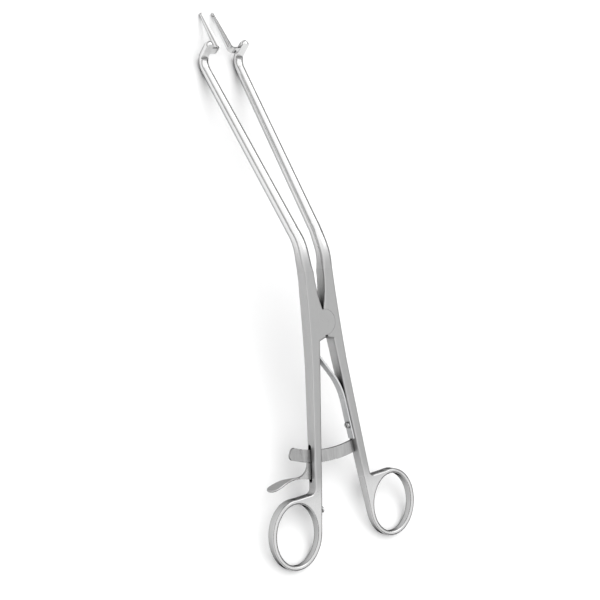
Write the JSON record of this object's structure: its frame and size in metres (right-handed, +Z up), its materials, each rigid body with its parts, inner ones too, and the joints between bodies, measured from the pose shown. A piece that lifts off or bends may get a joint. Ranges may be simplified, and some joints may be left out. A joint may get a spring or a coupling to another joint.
{
  "type": "endocervical speculum",
  "caption": "All-steel endocervical speculum: finger-ring handles, slotted joint, angled round shanks, slim half-round blades, leaf spring and ratchet bar with release lever.",
  "frame": {"origin": "centre of the bounding box at its base, where the rings and the heels of the heads rest on the table", "axes": "+Y from the finger rings to the blades, +X to the right as the picture's front face is seen, +Z up from the table; the handles' plane is tilted 12.82 degrees about X"},
  "size_m": [0.0906, 0.28, 0.0371],
  "materials": {
    "satin_steel": "satin ground stainless steel",
    "polished_steel": "polished stainless steel"
  },
  "bodies": {
    "left_arm": {"left_arm": "satin_steel", "left_blade": "polished_steel", "joint_pin": "satin_steel", "lever_pin": "satin_steel", "lever_spring": "satin_steel", "lever_spring_screw": "polished_steel"},
    "right_arm": {"right_arm": "satin_steel", "right_blade": "polished_steel", "ratchet_bar": "satin_steel", "ratchet_bar_pin": "satin_steel", "main_spring": "satin_steel", "main_spring_screw": "polished_steel"},
    "release_lever": {"release_lever": "satin_steel"}
  },
  "joints": [
    {"name": "arm_hinge", "type": "hinge", "parent": "left_arm", "child": "right_arm", "pos_m": [0, -0.02874, 0.02699], "axis": [0, 0.2218, -0.9751], "range_deg": [-2.2, 10], "deforming": ["main_spring"]},
    {"name": "lever_hinge", "type": "hinge", "parent": "left_arm", "child": "release_lever", "pos_m": [-0.01436, -0.09895, 0.01102], "axis": [0, -0.2218, 0.9751], "range_deg": [0, 9], "stiffness_Nm_per_rad": 0.05, "springref_deg": -5.73, "deforming": ["lever_spring"]}
  ]
}
